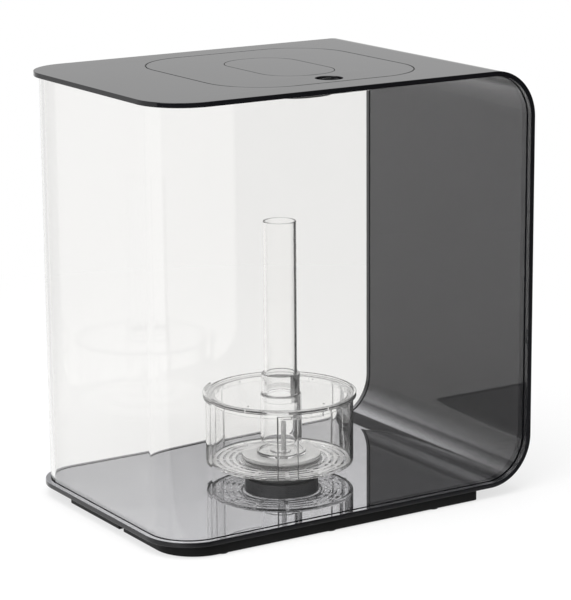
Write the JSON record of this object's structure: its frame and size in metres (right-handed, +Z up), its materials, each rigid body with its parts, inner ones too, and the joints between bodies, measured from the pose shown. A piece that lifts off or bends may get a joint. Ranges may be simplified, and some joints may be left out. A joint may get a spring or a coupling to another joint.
{
  "type": "desktop aquarium",
  "caption": "Small desktop aquarium: a black bent acrylic shell, a clear rounded wall, a flush lift-off lid with a lamp, and a clear drum filter with a bubble tube.",
  "frame": {"origin": "centre of the bottom, on the desk", "axes": "+Z up, front -Y, closed side of the shell +X"},
  "size_m": [0.3, 0.21, 0.31],
  "materials": {
    "shell_acrylic": "polished black acrylic sheet",
    "wall_acrylic": "polished clear acrylic sheet",
    "filter_clear": "clear moulded plastic",
    "base_plastic": "black moulded plastic, satin",
    "rubber": "soft black rubber",
    "port_plastic": "dark grey moulded plastic",
    "air_stone": "porous light grey ceramic",
    "lamp_plastic": "black moulded plastic, fine grain",
    "screw_steel": "stainless steel",
    "heat_plate": "bare aluminium",
    "light_board": "white solder mask",
    "light_chip": "yellow phosphor in white cases",
    "diffuser": "frosted translucent plastic"
  },
  "bodies": {
    "tank": {"wrap_shell": "shell_acrylic", "tank_wall": "wall_acrylic", "lid_frame": "shell_acrylic", "base_frame": "base_plastic", "foot_pads": "rubber", "port_gasket": "rubber", "air_port": "port_plastic", "check_valve": "rubber", "port_washer": "port_plastic", "port_nut": "port_plastic", "air_elbow": "port_plastic"},
    "lid": {"lid_panel": "shell_acrylic", "lamp_cap": "shell_acrylic", "lamp_housing": "lamp_plastic", "lamp_screws": "screw_steel", "heat_plate": "heat_plate", "light_board": "light_board", "light_chips": "light_chip", "lamp_diffuser": "diffuser", "power_socket": "lamp_plastic"},
    "drum": {"filter_drum": "filter_clear", "stone_seat": "filter_clear", "air_stone": "air_stone"},
    "cover": {"filter_cover": "filter_clear", "riser_sleeve": "filter_clear"},
    "tube": {"bubble_tube": "filter_clear"}
  },
  "joints": [
    {"name": "lid_lift", "type": "slide", "parent": "tank", "child": "lid", "axis": [0, 0, 1], "range_m": [0, 0.08]},
    {"name": "drum_lift", "type": "slide", "parent": "tank", "child": "drum", "axis": [0, 0, 1], "range_m": [0, 0.03]},
    {"name": "cover_twist", "type": "hinge", "parent": "drum", "child": "cover", "pos_m": [0.002, 0, 0.071], "axis": [0, 0, 1], "range_deg": [0, 25]},
    {"name": "tube_lift", "type": "slide", "parent": "cover", "child": "tube", "axis": [0, 0, 1], "range_m": [0, 0.04]}
  ]
}
